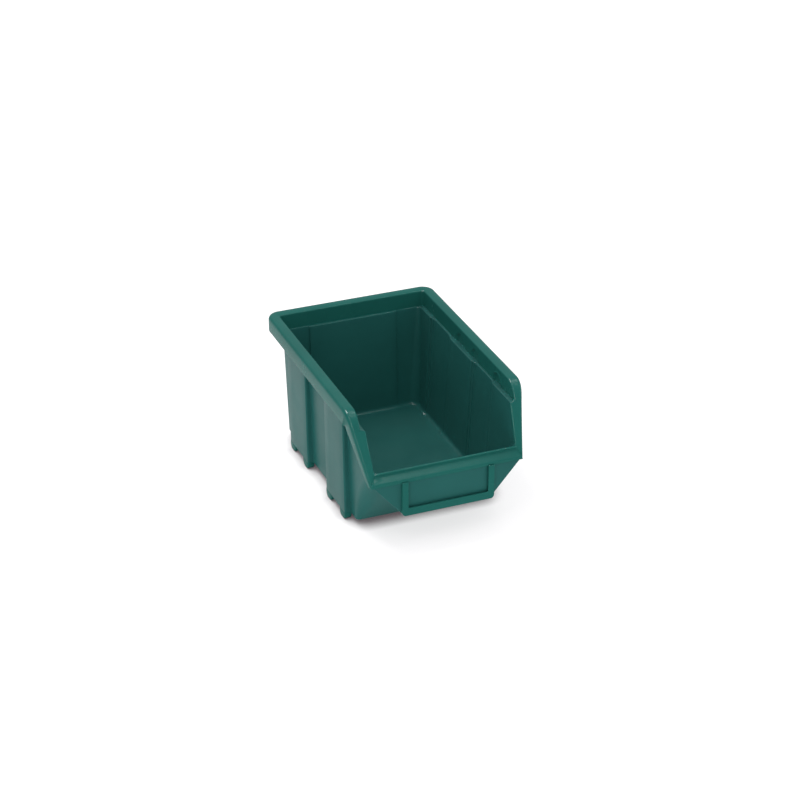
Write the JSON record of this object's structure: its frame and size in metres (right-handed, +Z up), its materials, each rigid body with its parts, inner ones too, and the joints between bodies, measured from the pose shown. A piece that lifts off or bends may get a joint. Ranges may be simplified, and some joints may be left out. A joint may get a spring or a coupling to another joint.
{
  "type": "storage bin",
  "caption": "Small stackable open-front parts bin moulded in dark green polypropylene, with a stacking rim, ribbed sides, feet and a label holder",
  "frame": {"origin": "On the ground plane, under the middle of the bin's overall length and width", "axes": "+X to the right seen from the open front, +Y to the back wall, +Z up; the open front faces -Y"},
  "size_m": [0.11, 0.162, 0.084],
  "materials": {
    "body": "satin moulded polypropylene, dark green, fine even grain"
  },
  "bodies": {
    "root": {"floor_plate": "body", "back_wall": "body", "front_wall": "body", "left_rear_corner": "body", "right_rear_corner": "body", "left_front_corner": "body", "right_front_corner": "body", "left_rear_pad": "body", "right_rear_pad": "body", "left_front_pad": "body", "right_front_pad": "body", "left_rear_web": "body", "right_rear_web": "body", "left_middle_web": "body", "right_middle_web": "body", "left_ledge": "body", "right_ledge": "body", "back_ledge": "body", "left_collar": "body", "right_collar": "body", "back_collar": "body", "left_rim": "body", "right_rim": "body", "back_rim": "body", "left_skirt": "body", "right_skirt": "body", "back_skirt": "body", "left_cheek": "body", "right_cheek": "body", "left_cheek_skirt": "body", "right_cheek_skirt": "body", "front_lip": "body", "label_panel": "body", "label_frame": "body", "left_feet": "body", "right_feet": "body"}
  },
  "joints": []
}
